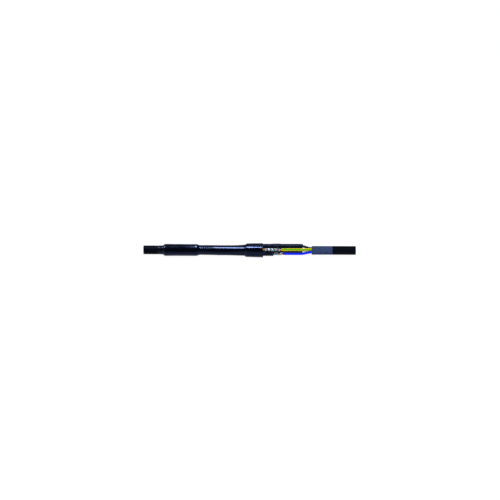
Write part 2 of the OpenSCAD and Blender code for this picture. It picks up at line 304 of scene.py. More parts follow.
@dataclass(frozen=True)
class CableSheath(Finish):
    """Black PVC sheath, extruded: satin, with faint drag lines along it.

    Where it was roughened for the adhesive the eye sees a dull blue-grey that breaks up
    into blotches and scratches.

    Attributes:
        abraded_from: Where the roughened stretch begins, in x.
        abraded_to: Where it ends.
        shades: Of the plain sheath.
        rubbed_shades: Of the roughened stretch.
        shine: Strength of the highlights.
        cast: Colour of the highlights.
        polish: Roughness of the plain sheath's glossiest patches and of its dullest.
        wear: Those patches.
        rubbed_dulling: What roughening adds to that roughness.
        ragged: How far the roughened stretch's ends run to and fro.
        ragged_steps: The patches in which they do.
        lines: The drag lines, a few tenths of a millimetre apart; drawn at 2 mm so that
            they show.
        line_share: Their height against the scratches'.
        scratches: The grit's marks, about 0.3 mm wide; drawn at 1.6 mm so that they show.
        blotches: Broader marks, as strong as the scratches in the roughened stretch's shade.
        depth: Of the scratches.
    """

    abraded_from: float
    abraded_to: float
    shades: tuple[str, str] = ("#05070A", "#0B0E15")
    rubbed_shades: tuple[str, str] = ("#1F2841", "#3D4B73")
    shine: float = 0.03
    cast: Rgba = (0.35, 0.45, 1.0, 1.0)
    polish: tuple[float, float] = (0.36, 0.5)
    wear: Patches = Patches(30 * MM, 8 * MM)
    rubbed_dulling: float = 0.42
    ragged: float = 1.5 * MM
    ragged_steps: Patches = Patches(3 * MM, 3 * MM)
    lines: Patches = Patches(150 * MM, 2 * MM, 1.0)
    line_share: float = 0.25
    scratches: Patches = Patches(1.6 * MM, 6 * MM)
    blotches: Patches = Patches(5 * MM, 4 * MM, 3.0)
    depth: float = 0.15 * MM

    def surface(self, tree: bpy.types.NodeTree) -> bpy.types.Node:
        """Builds the shader; see Finish.surface."""
        rubbed = self._rubbed(tree)
        lines, scratches = self.lines.draw(tree), self.scratches.draw(tree)
        low, high = self.polish
        polish = {**MIDDLE, "To Min": low, "To Max": high, "Value": self.wear.draw(tree)}
        halved = {"operation": "MULTIPLY", 0: self.blotches.draw(tree), 1: 0.5}
        faint = {"operation": "MULTIPLY", 0: lines, 1: self.line_share}
        mottle, roughness, height = (
            add_node(tree, "ShaderNodeMath", {"operation": "MULTIPLY_ADD", 0: a, 1: b, 2: c})
            for a, b, c in (
                (scratches, 0.5, add_node(tree, "ShaderNodeMath", halved)),
                (rubbed, self.rubbed_dulling, add_node(tree, "ShaderNodeMapRange", polish)),
                (scratches, rubbed, add_node(tree, "ShaderNodeMath", faint)),
            )
        )
        plain = two_shades(tree, lines, self.shades)
        dull = two_shades(tree, mottle, self.rubbed_shades)
        base = {"data_type": "RGBA", "Factor": rubbed, MIX_A: plain, MIX_B: dull}
        relief = {"Distance": self.depth, "Strength": 1.0, "Height": height}
        return add_node(
            tree,
            "ShaderNodeBsdfPrincipled",
            {
                "IOR": 1.5,
                "Specular IOR Level": self.shine,
                "Specular Tint": self.cast,
                "Base Color": add_node(tree, "ShaderNodeMix", base).outputs[MIX_RESULT],
                "Roughness": roughness,
                "Normal": add_node(tree, "ShaderNodeBump", relief),
            },
        )

    def _rubbed(self, tree: bpy.types.NodeTree) -> bpy.types.Node:
        """1 on the roughened stretch, which ends raggedly, and 0 elsewhere."""
        place = add_node(tree, "ShaderNodeTexCoord").outputs["Object"]
        x = add_node(tree, "ShaderNodeSeparateXYZ", {"Vector": place})
        steps = self.ragged_steps.draw(tree)
        spread = {**MIDDLE, "To Min": -self.ragged, "To Max": self.ragged, "Value": steps}
        wobble = add_node(tree, "ShaderNodeMapRange", spread)
        edge = add_node(tree, "ShaderNodeMath", {"operation": "ADD", 0: x, 1: wobble})
        after, before = (
            add_node(tree, "ShaderNodeMath", {"operation": operation, 0: edge, 1: end})
            for operation, end in (
                ("GREATER_THAN", self.abraded_from),
                ("LESS_THAN", self.abraded_to),
            )
        )
        return add_node(tree, "ShaderNodeMath", {"operation": "MULTIPLY", 0: after, 1: before})


@dataclass(frozen=True)
class ShrunkPolyolefin(PatchyFinish):
    """Cross-linked polyolefin, expanded and shrunk by flame: black with a blue cast.

    The flame has glazed it, with a thin haze in patches, and low ripples bend its highlights.

    Attributes:
        rim_haze: How strongly the haze shows where the skin turns away from the eye.
        rim_softness: How far in from the rim it reaches, from 0 to 1.
        rim_cast: Colour of the haze there.
        grain: The skin's grain, under 0.1 mm; drawn at 1 mm so that it shows close by.
        grain_share: Its height against the ripples'.
    """

    shades: tuple[str, str] = ("#030409", "#070913")
    roughness: tuple[float, float] = (0.13, 0.21)
    drift: Patches = Patches(22 * MM, 10 * MM)
    marks: Patches = Patches(14 * MM, 6 * MM, 1.0)
    depth: float = 0.05 * MM
    shine: float = 0.22
    cast: Rgba = (0.28, 0.44, 1.0, 1.0)
    rim_haze: float = 0.25
    rim_softness: float = 0.4
    rim_cast: Rgba = (0.12, 0.25, 1.0, 1.0)
    grain: Patches = Patches(1 * MM, 1 * MM)
    grain_share: float = 0.04

    def _even(self) -> dict[str, object]:
        """What is the same all over the surface, by the shader's sockets."""
        return super()._even() | {
            "Sheen Weight": self.rim_haze,
            "Sheen Roughness": self.rim_softness,
            "Sheen Tint": self.rim_cast,
        }

    def _height(self, tree: bpy.types.NodeTree, drift: bpy.types.Node) -> bpy.types.Node:
        """The relief's height, which is the ripples with the grain on them."""
        ripples = super()._height(tree, drift)
        both = {0: self.grain.draw(tree), 1: self.grain_share, 2: ripples}
        return add_node(tree, "ShaderNodeMath", {"operation": "MULTIPLY_ADD", **both})


@dataclass(frozen=True)
class SawnPolyolefin(PatchyFinish):
    """The same polyolefin where a saw cut it: dull charcoal with fine straight marks.

    The saw's marks are about 0.5 mm apart; drawn at 1 mm so that they show.
    """

    shades: tuple[str, str] = ("#16181F", "#252834")
    roughness: tuple[float, float] = (0.6, 0.8)
    drift: Patches = Patches(20 * MM, 1 * MM)
    depth: float = 0.15 * MM
    shine: float = 0.25


@dataclass(frozen=True)
class HotMelt(PatchyFinish):
    """Hot-melt adhesive, melted and set: smooth and wet-looking, paler in patches.

    Attributes:
        coat: Strength of its wet shine.
        coat_roughness: Of that shine.
    """

    shades: tuple[str, str] = ("#07090F", "#0C101B")
    roughness: tuple[float, float] = (0.18, 0.35)
    drift: Patches = Patches(7 * MM, 7 * MM)
    depth: float = 0.6 * MM
    shine: float = 0.16
    cast: Rgba = (0.3, 0.45, 1.0, 1.0)
    coat: float = 0.05
    coat_roughness: float = 0.12

    def _even(self) -> dict[str, object]:
        """What is the same all over the surface, by the shader's sockets."""
        wet = {"Coat Weight": self.coat, "Coat Roughness": self.coat_roughness}
        return super()._even() | wet


@dataclass(frozen=True)
class CoreInsulation(PatchyFinish):
    """Coloured PVC core insulation, extruded: even colour, satin, faint lines along it.

    The lines are about 0.2 mm apart; drawn at 1.2 mm so that they show.
    """

    roughness: tuple[float, float] = (0.32, 0.45)
    drift: Patches = Patches(16 * MM, 5 * MM)
    marks: Patches = Patches(90 * MM, 1.2 * MM, 1.0)
    depth: float = 0.08 * MM
    ior: float = 1.48
    shine: float = 0.25


@dataclass(frozen=True)
class StripedInsulation(CoreInsulation):
    """Earth core insulation: two yellow and two green stripes run out of one die.

    The stripes keep to the core as it bends, and wind slowly round it. Of its shades
    yellow is the first, and green the second.

    Attributes:
        turn_per_metre: How far the stripes wind, in radians a metre of core.
        turn_at_start: Where a green stripe's middle lies, in radians, at x = 0.
        green_share: How much of the way round is green.
        border_blur: How softly a stripe ends, in the stripes' cosine.
        border_wander: How far a stripe's border runs to and fro, in the same.
        border_waves: The patches in which it does.
    """

    shades: tuple[str, str] = ("#D0BC10", "#2B9C00")
    shine: float = 0.12
    cast: Rgba = (0.9, 1.0, 0.4, 1.0)
    turn_per_metre: float = math.radians(30) / (90 * MM)
    turn_at_start: float = 0.0
    green_share: float = 0.32
    border_blur: float = 0.06
    border_wander: float = 0.05
    border_waves: Patches = Patches(12 * MM, 2 * MM)

    def _base(self, tree: bpy.types.NodeTree, drift: bpy.types.Node) -> bpy.types.NodeSocket:
        """The stripes' colours, which leave the patches out."""
        around = add_node(tree, "ShaderNodeAttribute", {"attribute_name": "around"})
        along = add_node(tree, "ShaderNodeAttribute", {"attribute_name": "along"})
        parts = {"Vector": around.outputs["Vector"]}
        y, z = add_node(tree, "ShaderNodeSeparateXYZ", parts).outputs[:2]
        turn = {0: along.outputs["Fac"], 1: -self.turn_per_metre, 2: -self.turn_at_start}
        wound = add_node(tree, "ShaderNodeMath", {"operation": "MULTIPLY_ADD", **turn})
        angle = add_node(tree, "ShaderNodeMath", {"operation": "ARCTAN2", 0: z, 1: y})
        turned = add_node(tree, "ShaderNodeMath", {"operation": "ADD", 0: angle, 1: wound})
        twice = add_node(tree, "ShaderNodeMath", {"operation": "MULTIPLY", 0: turned, 1: 2.0})
        # cos(2 a) is 1 at the middle of both green stripes and -1 at that of both yellow ones
        stripe = add_node(tree, "ShaderNodeMath", {"operation": "COSINE", 0: twice})
        reach = {"To Min": -self.border_wander, "To Max": self.border_wander}
        spread = {**MIDDLE, **reach, "Value": self.border_waves.draw(tree)}
        wander = add_node(tree, "ShaderNodeMapRange", spread)
        ragged = add_node(tree, "ShaderNodeMath", {"operation": "ADD", 0: stripe, 1: wander})
        border = math.cos(math.pi * self.green_share)
        ends = {"From Min": border - self.border_blur, "From Max": border + self.border_blur}
        is_green = add_node(tree, "ShaderNodeMapRange", {**ends, "Value": ragged})
        yellow, green = (colour(shade) for shade in self.shades)
        stripes = {"data_type": "RGBA", "Factor": is_green, MIX_A: yellow, MIX_B: green}
        return add_node(tree, "ShaderNodeMix", stripes).outputs[MIX_RESULT]


@dataclass(frozen=True)
class DrawnCopper(PatchyFinish):
    """Bare copper wire, drawn and cut: warm metal with darker tarnish in patches.

    Die marks are finer than a tenth of a millimetre; drawn at 0.5 mm so that they show.
    """

    shades: tuple[str, str] = ("#B87A55", "#7E4A2C")
    roughness: tuple[float, float] = (0.28, 0.45)
    drift: Patches = Patches(3 * MM, 2 * MM)
    marks: Patches = Patches(12 * MM, 0.5 * MM)
    depth: float = 0.05 * MM
    metallic: float = 1.0


@dataclass(frozen=True)
class TinnedCopper(PatchyFinish):
    """Electro-tinned copper tube, crimped: a soft grey metal with bright rubbed places.

    Handling scratches are hair-fine; drawn at 0.7 mm so that they show.
    """

    shades: tuple[str, str] = ("#B6C1CB", "#7E8B97")
    roughness: tuple[float, float] = (0.3, 0.48)
    drift: Patches = Patches(5 * MM, 4 * MM, 3.0)
    marks: Patches = Patches(6 * MM, 0.7 * MM, 3.0)
    depth: float = 0.12 * MM
    metallic: float = 1.0


@dataclass(frozen=True)
class ChalkFiller(PatchyFinish):
    """Chalk-filled rubber between the cores: pale, dry and slightly crumbly.

    The crumb is about 0.2 mm; drawn at 1 mm so that it shows.
    """

    shades: tuple[str, str] = ("#A59E92", "#857E73")
    roughness: tuple[float, float] = (0.75, 0.95)
    drift: Patches = Patches(1 * MM, 1 * MM, 3.0)
    depth: float = 0.2 * MM
    shine: float = 0.2


@dataclass(frozen=True)
class StudioPaper(Finish):
    """Seamless white paper: pure white to the camera, with the object's soft shadow on it.

    Attributes:
        shadow_share: How much of the paper's brightness the shadow can take.
        white: What the camera sees where there is no shadow.
        lit_as: What the studio's light makes of white paper.
    """

    shadow_share: float = 0.08
    white: float = 1.02
    lit_as: float = 0.8

    def surface(self, tree: bpy.types.NodeTree) -> bpy.types.Node:
        """Builds the shader; see Finish.surface."""
        paper = add_node(tree, "ShaderNodeBsdfDiffuse", {"Color": colour("#E6E6E6")})
        lit = add_node(tree, "ShaderNodeBsdfDiffuse", {"Color": (self.shadow_share,) * 3 + (1.0,)})
        strength = self.white - self.lit_as * self.shadow_share
        glow = add_node(tree, "ShaderNodeEmission", {"Color": WHITE, "Strength": strength})
        shown = add_node(tree, "ShaderNodeAddShader", {0: lit, 1: glow})
        return add_node(
            tree, "ShaderNodeMixShader", {0: seen_or_mirrored(tree), 1: paper, 2: shown}
        )


@dataclass(frozen=True)
class BlackCloth(Finish):
    """Black studio cloth: what the shiny plastics mirror where they look black."""

    def surface(self, tree: bpy.types.NodeTree) -> bpy.types.Node:
        """Builds the shader; see Finish.surface."""
        return add_node(tree, "ShaderNodeBsdfDiffuse", {"Color": colour("#0C0C0E")})


# Pieces


def replace_node(
    node: str,
    ending: str,
    bm: BMesh,
    finishes: Sequence[Finish],
    sharp: float = 40.0,
) -> bpy.types.Object:
    """Puts a new piece in place of a CAD node.

    Args:
        node: The node's name.
        ending: What the piece's name adds to it.
        bm: The piece's mesh, in the joint's frame; it is freed.
        finishes: Its materials, in the order of the faces' numbers.
        sharp: Edges sharper than this, in degrees, stay sharp in the round shading.

    Returns:
        The piece, riding on the joint.
    """
    bm.normal_update()
    for face in bm.faces:
        face.smooth = True
    for edge in bm.edges:
        if edge.is_manifold and edge.calc_face_angle() > math.radians(sharp):
            edge.smooth = False
    mesh = bpy.data.meshes.new(f"{node}_{ending}")
    bm.to_mesh(mesh)
    bm.free()
    for finish in finishes:
        mesh.materials.append(finish.material())
    piece = bpy.data.objects.new(mesh.name, mesh)
    bpy.context.collection.objects.link(piece)
    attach(piece, "root")
    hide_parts(node)
    return piece


def dress(node: str, finish: Finish) -> bpy.types.Object:
    """Gives a CAD node its finish and leaves its mesh alone.

    Args:
        node: The node's name.
        finish: Its finish.

    Returns:
        The node's object.
    """
    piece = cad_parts[node]
    if not piece.material_slots:
        piece.data.materials.append(None)
    for place in piece.material_slots:
        place.material = finish.material()
    return piece


def copy_of(node: str) -> BMesh:
    """A CAD node's mesh with its doubles merged and its triangles paired.

    Args:
        node: The node's name.

    Returns:
        The copy, to be changed freely.
    """
    bm = bmesh.new()
    bm.from_mesh(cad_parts[node].data)
    bmesh.ops.remove_doubles(bm, verts=bm.verts, dist=MERGE_WITHIN)
    bmesh.ops.join_triangles(
        bm,
        faces=bm.faces,
        angle_face_threshold=math.radians(40),
        angle_shape_threshold=math.radians(180),
    )
    return bm


def push(bm: BMesh, verts: Iterable[BMVert], height: Callable[[Vector], float]) -> None:
    """Moves vertices in or out along their normals.

    Args:
        bm: The mesh.
        verts: The vertices to move.
        height: How far out a place goes, in metres.
    """
    bm.normal_update()
    moves = [(vert, vert.normal * height(vert.co)) for vert in verts]
    for vert, move in moves:
        vert.co += move


def eased(start: float, end: float, x: float) -> float:
    """0 before start and 1 after end, with a smooth step between them."""
    share = min(1.0, max(0.0, (x - start) / (end - start)))
    return (1 - math.cos(math.pi * share)) / 2


def lumps(place: Vector, along: float, across: float) -> float:
    """Smooth unevenness.

    Args:
        place: A place on the joint.
        along: Length of a lump along the joint, in metres.
        across: Its width.

    Returns:
        The height there, from -1 to 1.
    """
    return noise.noise(Vector((place.x / along, place.y / across, place.z / across)))


@dataclass(frozen=True)
class JointPlaces:
    """Where things lie along the joint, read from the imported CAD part.

    Attributes:
        axis_height: Of the cables' axis above the floor.
        tube_start: Left edge of the outer tube.
        tube_cut: Where the outer tube is cut off.
        left_sheath_end: Inside the outer tube.
        right_sheath_start: Where the right cores come out.
    """

    axis_height: float
    tube_start: float
    tube_cut: float
    left_sheath_end: float
    right_sheath_start: float

    @classmethod
    def from_frame(cls) -> JointPlaces:
        """Reads the places from the nodes' boxes."""
        left, right, tube = (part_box(n) for n in ("left_sheath", "right_sheath", "outer_tube"))
        return cls(
            axis_height=(left[0].z + left[1].z) / 2,
            tube_start=tube[0].x,
            tube_cut=tube[1].x,
            left_sheath_end=left[1].x,
            right_sheath_start=right[0].x,
        )


@dataclass(frozen=True)
class SubAssembly(ABC):
    """Pieces of the joint that are made together.

    Attributes:
        places: The joint's places.
    """

    places: JointPlaces

    @abstractmethod
    def build(self) -> list[bpy.types.Object]:
        """Builds or dresses the pieces, and gives them back."""


@dataclass
class Ring:
    """The open end of a skin that is being drawn along a core.

    Attributes:
        edges: Its edges.
        centre: Its centre.
        heading: The way the skin is being drawn.
    """

    edges: list[BMEdge]
    centre: Vector
    heading: Vector

    def verts(self) -> list[BMVert]:
        """The ring's vertices."""
        return list({vert for edge in self.edges for vert in edge.verts})


@dataclass(frozen=True)
class CoreRoute:
    """A core's way through the joint: nested, spread apart, and nested again.

    Each bend is two equal arcs, as in the CAD part.

    Attributes:
        core: Which core it is.
        places: The joint's places.
        nest_radius: From the cable's axis to a nested core's.
        right_lay: Turn of the right cable's cores against the left cable's, in degrees.
        spread_after: From the left sheath's end to the left bend.
        left_bend: Length of the left bend.
        right_bend: Length of the right bend.
        mouth_depth: How far inside the right sheath the right bend ends.
        ring_step: Angle between the rings in a bend, in degrees.
    """

    core: Core
    places: JointPlaces
    nest_radius: float = 6.647 * MM
    right_lay: float = 25.0
    spread_after: float = 81 * MM
    left_bend: float = 110 * MM
    right_bend: float = 45 * MM
    mouth_depth: float = 5 * MM
    ring_step: float = 1.2

    @property
    def open_at(self) -> Vector:
        """The core's axis where it runs open, from its connector, with x = 0."""
        low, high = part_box(f"connector_{self.core.label}")
        return Vector((0, (low.y + high.y) / 2, (low.z + high.z) / 2))

    def nested_at(self, on_right: bool) -> Vector:
        """The core's axis in one of the cables, with x = 0."""
        angle = math.radians(45 + 90 * self.core.quarter - (self.right_lay if on_right else 0))
        height = self.places.axis_height
        return Vector(
            (0, self.nest_radius * math.cos(angle), height + self.nest_radius * math.sin(angle))
        )

    @property
    def left_bend_end(self) -> float:
        """Where the left bend meets the open stretch."""
        return self.places.left_sheath_end + self.spread_after + self.left_bend

    @property
    def right_bend_start(self) -> float:
        """Where the open stretch meets the right bend."""
        return self.places.right_sheath_start + self.mouth_depth - self.right_bend

    def draw(self, skin: Skin, from_x: float, to_x: float, step: float) -> tuple[Ring, Ring]:
        """Draws a skin along the core.

        Args:
            skin: The skin to draw.
            from_x: Its left end.
            to_x: Its right end.
            step: Between rings on the open stretch.

        Returns:
            The rings at its left and right ends.
        """
        middle = min(max((from_x + to_x) / 2, self.left_bend_end), self.right_bend_start)
        centre = self.open_at + Vector((middle, 0, 0))
        left, right = skin.start(centre)
        for ring, end, open_end in (
            (left, from_x, self.left_bend_end),
            (right, to_x, self.right_bend_start),
        ):
            sign = ring.heading.x
            stop = min(sign * end, sign * open_end) * sign
            skin.straight(ring, abs(stop - middle), step)
            if sign * end > sign * open_end:
                self._bend(skin, ring, end, open_end)
        return left, right

    def _bend(self, skin: Skin, ring: Ring, end: float, open_end: float) -> None:
        """Draws a skin into a bend, and past it if end lies there."""
        sign = ring.heading.x
        length = self.right_bend if sign > 0 else self.left_bend
        shift = self.nested_at(sign > 0) - self.open_at
        side = shift.normalized()
        radius = (length**2 + shift.length**2) / (4 * shift.length)
        axis = ring.heading.cross(side)
        reach = min(abs(end - open_end), length)
        nested = self.nested_at(sign > 0) + Vector((open_end + sign * length, 0, 0))
        first = math.asin(min(reach, length / 2) / radius)
        skin.arc(ring, ring.centre + side * radius, axis, first, self.ring_step)
        if reach > length / 2:
            left_over = math.asin((length - reach) / radius)
            back = math.asin(length / 2 / radius) - left_over
            skin.arc(ring, nested - side * radius, -axis, back, self.ring_step)
        rest = abs(end - open_end) - length
        if rest > 0:
            skin.straight(ring, rest, step=rest)


class Skin:
    """A round skin drawn along a core's route, ring by ring.

    Each vertex carries "around", its place round the core as a unit vector, and "along",
    its x, so that a pattern can keep to the core through its bends.
    """

    def __init__(self, bm: BMesh, radius: Callable[[float], float], sides: int = 40) -> None:
        """Sets the skin up.

        Args:
            bm: The mesh that it is drawn in.
            radius: The skin's radius at an x.
            sides: Of each ring.
        """
        self.bm = bm
        self.radius = radius
        self.sides = sides
        layers = bm.verts.layers
        self.around = layers.float_vector.get("around") or layers.float_vector.new("around")
        self.along = layers.float.get("along") or layers.float.new("along")
        self.verts: set[BMVert] = set()

    def start(self, centre: Vector) -> tuple[Ring, Ring]:
        """Makes the first ring, on the open stretch.

        Args:
            centre: Its centre.

        Returns:
            The same ring twice, heading left and heading right.
        """
        upright = Matrix.Rotation(math.radians(90), 4, "Y")
        made = bmesh.ops.create_circle(
            self.bm,
            cap_ends=False,
            segments=self.sides,
            radius=self.radius(centre.x),
            matrix=Matrix.Translation(centre) @ upright,
        )["verts"]
        for vert in made:
            out = (vert.co - centre).normalized()
            vert[self.around] = Vector((out.y, out.z, 0))
            vert[self.along] = centre.x
        self.verts.update(made)
        edges = list({edge for vert in made for edge in vert.link_edges})
        return (
            Ring(edges, centre.copy(), Vector((-1, 0, 0))),
            Ring(list(edges), centre.copy(), Vector((1, 0, 0))),
        )

    def straight(self, ring: Ring, length: float, step: float) -> None:
        """Draws the skin straight on.

        Args:
            ring: The skin's open end, which moves on.
            length: How far.
            step: The most between two rings.
        """
        if length < LEAST_LENGTH:
            return
        steps = math.ceil(length / step)
        for _ in range(steps):
            made = bmesh.ops.extrude_edge_only(self.bm, edges=ring.edges)["geom"]
            verts = {g for g in made if isinstance(g, BMVert)}
            edges = [g for g in made if isinstance(g, BMEdge) and set(g.verts) <= verts]
            move = ring.heading * (length / steps)
            bmesh.ops.translate(self.bm, vec=move, verts=list(verts))
            self._move_on(ring, edges, ring.centre + move)

    def arc(self, ring: Ring, pivot: Vector, axis: Vector, angle: float, ring_step: float) -> None:
        """Draws the skin round a pivot.

        Args:
            ring: The skin's open end, which moves on.
            pivot: A point on the axis that it turns about.
            axis: That axis's direction.
            angle: How far it turns, in radians.
            ring_step: The most between two rings, in degrees.
        """
        if angle < LEAST_ANGLE:
            return
        steps = math.ceil(math.degrees(angle) / ring_step)
        turn = Matrix.Rotation(angle / steps, 3, axis)
        for _ in range(steps):
            made = bmesh.ops.spin(
                self.bm,
                geom=ring.edges,
                cent=pivot,
                axis=axis,
                angle=angle / steps,
                steps=1,
                use_merge=False,
                use_duplicate=False,
            )["geom_last"]
            edges = [g for g in made if isinstance(g, BMEdge)]
            ring.heading = turn @ ring.heading
            self._move_on(ring, edges, pivot + turn @ (ring.centre - pivot))

    def _move_on(self, ring: Ring, edges: list[BMEdge], centre: Vector) -> None:
        """Makes new edges the ring, and gives them the radius that the skin has there."""
        share = self.radius(centre.x) / self.radius(ring.centre.x)
        ring.edges, ring.centre = edges, centre
        verts = ring.verts()
        bmesh.ops.scale(self.bm, vec=(share,) * 3, space=Matrix.Translation(-centre), verts=verts)
        for vert in verts:
            vert[self.along] = centre.x
        self.verts.update(verts)


@dataclass(frozen=True)
class Cores(SubAssembly):
    """The coloured cores that show, drawn smooth through their bends.

    Attributes:
        radius: Of the insulation.
        bore: Of the insulation, on the wires.
        edge_round: Of its cut ends' rims.
        step: Between rings on the open stretch.
        finishes: The cores' finishes.
        left_stripes_in_painted_shade: The left cable's earth core lies turned from the right
            one's; its darker colours are painted shade.
    """

    radius: float = 4.2 * MM
    bore: float = 3.25 * MM
    edge_round: float = 0.25 * MM
    step: float = 30 * MM
    finishes: Mapping[Core, Finish] = field(
        default_factory=lambda: {
            Core.BLACK: CoreInsulation(
                "black PVC core insulation, extruded",
                ("#0E1016", "#171A24"),
                cast=(0.45, 0.6, 1.0, 1.0),
                shine=0.8,
            ),
            Core.GREEN_YELLOW: StripedInsulation(
                "green-yellow PVC core insulation, co-extruded",
                turn_at_start=math.radians(123 - 30 * 110 / 90),
                green_share=0.36,
            ),
            Core.BLUE: CoreInsulation(
                "blue PVC core insulation, extruded",
                ("#0828FF", "#061EF0"),
                cast=(0.3, 0.4, 1.0, 1.0),
                shine=0.15,
            ),
            Core.GREY: CoreInsulation(
                "pale grey PVC core insulation, extruded", ("#D2CCC2", "#C2BBB0")
            ),
        }
    )
    left_stripes_in_painted_shade: Finish = StripedInsulation(
        "green-yellow PVC core insulation of the left cable, co-extruded",
        # Darker yellow and green than the right cable's: painted shade, where the outer tube's
        # mouth shades the core
        ("#8E6E14", "#1C6A0A"),
        turn_at_start=math.radians(10),
    )

    def build(self) -> list[bpy.types.Object]:
        """Replaces the cores that show and dresses the hidden ones."""
        pieces = []
        for core in Core:
            pieces.append(self._draw(core, "right", self.finishes[core]))
            if core is Core.GREEN_YELLOW:
                pieces.append(self._draw(core, "left", self.left_stripes_in_painted_shade))
            else:
                pieces.append(dress(f"left_insulation_{core.label}", self.finishes[core]))
        return pieces

    def _draw(self, core: Core, side: str, finish: Finish) -> bpy.types.Object:
        """Draws one insulation in place of its CAD node.

        Args:
            core: Which core.
            side: Which cable.
            finish: The insulation's finish.

        Returns:
            The piece.
        """
        node = f"{side}_insulation_{core.label}"
        low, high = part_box(node)
        start, end = low.x + BORE_RECESS, high.x - BORE_RECESS
        route = CoreRoute(core, self.places)
        bm = bmesh.new()
        outer = route.draw(Skin(bm, lambda x: self.radius), low.x, high.x, self.step)
        inner = route.draw(Skin(bm, lambda x: self.bore), start, end, self.step)
        for rim, bore_rim in zip(outer, inner):
            bmesh.ops.bridge_loops(bm, edges=rim.edges + bore_rim.edges)
        bmesh.ops.recalc_face_normals(bm, faces=bm.faces)
        bmesh.ops.bevel(
            bm,
            geom=[edge for rim in outer for edge in rim.edges],
            offset=self.edge_round,
            segments=2,
            profile=0.5,
            affect="EDGES",
            material=-1,
        )
        return replace_node(node, "drawn", bm, [finish])


@dataclass(frozen=True)
class CoreTubes(SubAssembly):
    """The heat shrink tubes on the cores, standing up over the connectors' thick ends.

    Attributes:
        radius: Over the insulation.
        bore: On the insulation.
        connector_bore: On the connector.
        bore_opens: Where the bore steps out to it, from the connector's left end.
        bore_closes: Where it steps in again, from the connector's right end.
        swell: How far a tube stands up over the connector's right half.
        swell_rises: Where it begins to, from the connector's middle.
        swell_falls: Where it ends, from the connector's right end.
        grey_slack: How much looser the grey core's tube has stayed beside the bare blue core.
        slack_x: Where that slack sets in, right of the blue tube's cut.
        step: Between rings.
        sides: Of each ring.
        lump_height: How uneven the shrunk skin is.
        lump_size: Length and width of its lumps.
        blue_cut: Where the blue core's tube is cut back to, at its axis.
        blue_slant: Slant of that cut, in degrees.
        cut_off: How much longer the blue core's tube is drawn, to be cut off.
        finish: The tubes' finish.
    """

    radius: float = 7.5 * MM
    bore: float = 4.35 * MM
    connector_bore: float = 5.15 * MM
    bore_opens: tuple[float, float] = (-3 * MM, -1 * MM)
    bore_closes: tuple[float, float] = (4 * MM, 5 * MM)
    swell: float = 0.8 * MM
    swell_rises: tuple[float, float] = (-7 * MM, 2 * MM)
    swell_falls: tuple[float, float] = (-3 * MM, 2 * MM)
    grey_slack: float = 0.5 * MM
    slack_x: tuple[float, float] = (80 * MM, 95 * MM)
    step: float = 2 * MM
    sides: int = 44
    lump_height: float = 0.16 * MM
    lump_size: tuple[float, float] = (13 * MM, 6 * MM)
    blue_cut: float = 78.4 * MM
    blue_slant: float = 14.0
    cut_off: float = 4 * MM
    finish: Finish = ShrunkPolyolefin(
        "black polyolefin core tube, shrunk",
        ("#090A10", "#10131E"),
        roughness=(0.21, 0.29),
        marks=Patches(11 * MM, 5 * MM, 1.0),
        depth=0.4 * MM,
        shine=0.15,
    )

    def build(self) -> list[bpy.types.Object]:
        """Replaces the CAD part's four core tubes."""
        return [self._draw(core) for core in Core]

    def _outside(self, core: Core) -> Callable[[float], float]:
        """The radius over a core's tube, as a function of x."""
        low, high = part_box(f"connector_{core.label}")
        middle = (low.x + high.x) / 2
        slack = self.grey_slack if core is Core.GREY else 0.0

        def radius(x: float) -> float:
            """The radius at an x."""
            swollen = eased(*self.swell_rises, x - middle) - eased(*self.swell_falls, x - high.x)
            return self.radius + slack * eased(*self.slack_x, x) + self.swell * swollen

        return radius

    def _inside(self, core: Core) -> Callable[[float], float]:
        """The tube's bore, which steps out round the connector, as a function of x."""
        low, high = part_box(f"connector_{core.label}")

        def radius(x: float) -> float:
            """The bore at an x."""
            out = eased(*self.bore_opens, x - low.x) - eased(*self.bore_closes, x - high.x)
            return self.bore + (self.connector_bore - self.bore) * out

        return radius

    def _draw(self, core: Core) -> bpy.types.Object:
        """Draws one tube in place of its CAD node."""
        node = f"core_tube_{core.label}"
        low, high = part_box(node)
        route = CoreRoute(core, self.places)
        slanted = core is Core.BLUE
        start, end = low.x, high.x + (self.cut_off if slanted else 0)
        bm = bmesh.new()
        skin = Skin(bm, self._outside(core), self.sides)
        lining = Skin(bm, self._inside(core), self.sides)
        outer = route.draw(skin, start, end, self.step)
        inner = route.draw(lining, start + BORE_RECESS, end - BORE_RECESS, self.step)
        if slanted:
            self._cut_back(bm, route)
        else:
            bmesh.ops.bridge_loops(bm, edges=outer[1].edges + inner[1].edges)
        bmesh.ops.bridge_loops(bm, edges=outer[0].edges + inner[0].edges)
        bmesh.ops.recalc_face_normals(bm, faces=bm.faces)
        push(bm, [vert for vert in bm.verts if vert in skin.verts], self._unevenness)
        return replace_node(node, "shrunk", bm, [self.finish])

    def _cut_back(self, bm: BMesh, route: CoreRoute) -> None:
        """Cuts the tube off on a slant, with the top of the cut to the right."""
        slant = math.radians(self.blue_slant)
        centre = route.open_at
        cut = bmesh.ops.bisect_plane(
            bm,
            geom=[*bm.verts, *bm.edges, *bm.faces],
            plane_co=centre + Vector((self.blue_cut, 0, 0)),
            plane_no=(math.cos(slant), 0, -math.sin(slant)),
            clear_outer=True,
        )["geom_cut"]
        wall = (self.radius + self.connector_bore) / 2
        verts = [g for g in cut if isinstance(g, BMVert)]
        bore = [vert for vert in verts if (vert.co - centre).yz.length < wall]
        bmesh.ops.translate(bm, vec=(-BORE_RECESS, 0, 0), verts=bore)
        bmesh.ops.bridge_loops(bm, edges=[g for g in cut if isinstance(g, BMEdge)])

    def _unevenness(self, place: Vector) -> float:
        """How far the flame left the skin in or out at a place."""
        return self.lump_height * lumps(place, *self.lump_size)


